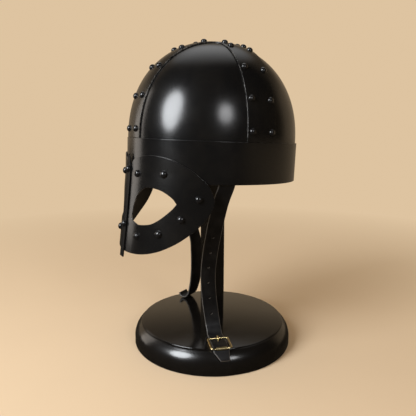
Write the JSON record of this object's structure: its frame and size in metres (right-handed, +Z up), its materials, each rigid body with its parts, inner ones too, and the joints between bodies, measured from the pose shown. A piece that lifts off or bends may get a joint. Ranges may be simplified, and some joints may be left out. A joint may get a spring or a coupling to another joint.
{
  "type": "norse iron helmet with riveted bands and an eye guard on a plain round display stand",
  "caption": "Riveted iron helmet with crossed bands, spectacle eye guard, nasal bar and chin strap, standing on a plain round stand with a square post.",
  "frame": {"origin": "centre of the round stand's flat underside, on the ground", "axes": "+Z up, the helmet looks along -Y, +X is the wearer's left"},
  "size_m": [0.2246, 0.253, 0.4169],
  "materials": {
    "black_iron": "glossy blackened sheet iron",
    "rivet_iron": "glossy blackened domed heads",
    "black_lacquered_wood": "high-gloss black lacquer",
    "black_leather": "smooth dyed strap leather",
    "brass": "polished"
  },
  "bodies": {
    "root": {"skull": "black_iron", "brow_band": "black_iron", "ridge_band": "black_iron", "left_side_band": "black_iron", "right_side_band": "black_iron", "eye_guard": "black_iron", "nasal_bar": "black_iron", "guard_rivet_left_1": "rivet_iron", "guard_rivet_left_2": "rivet_iron", "guard_rivet_left_3": "rivet_iron", "guard_rivet_left_4": "rivet_iron", "guard_rivet_left_5": "rivet_iron", "guard_rivet_left_6": "rivet_iron", "guard_rivet_right_1": "rivet_iron", "guard_rivet_right_2": "rivet_iron", "guard_rivet_right_3": "rivet_iron", "guard_rivet_right_4": "rivet_iron", "guard_rivet_right_5": "rivet_iron", "guard_rivet_right_6": "rivet_iron", "nasal_rivet_1": "rivet_iron", "nasal_rivet_2": "rivet_iron", "stand_base": "black_lacquered_wood", "stand_post": "black_lacquered_wood", "left_strap": "black_leather", "right_strap": "black_leather", "buckle_frame": "brass", "buckle_sleeve": "brass", "buckle_prong": "brass"}
  },
  "joints": []
}
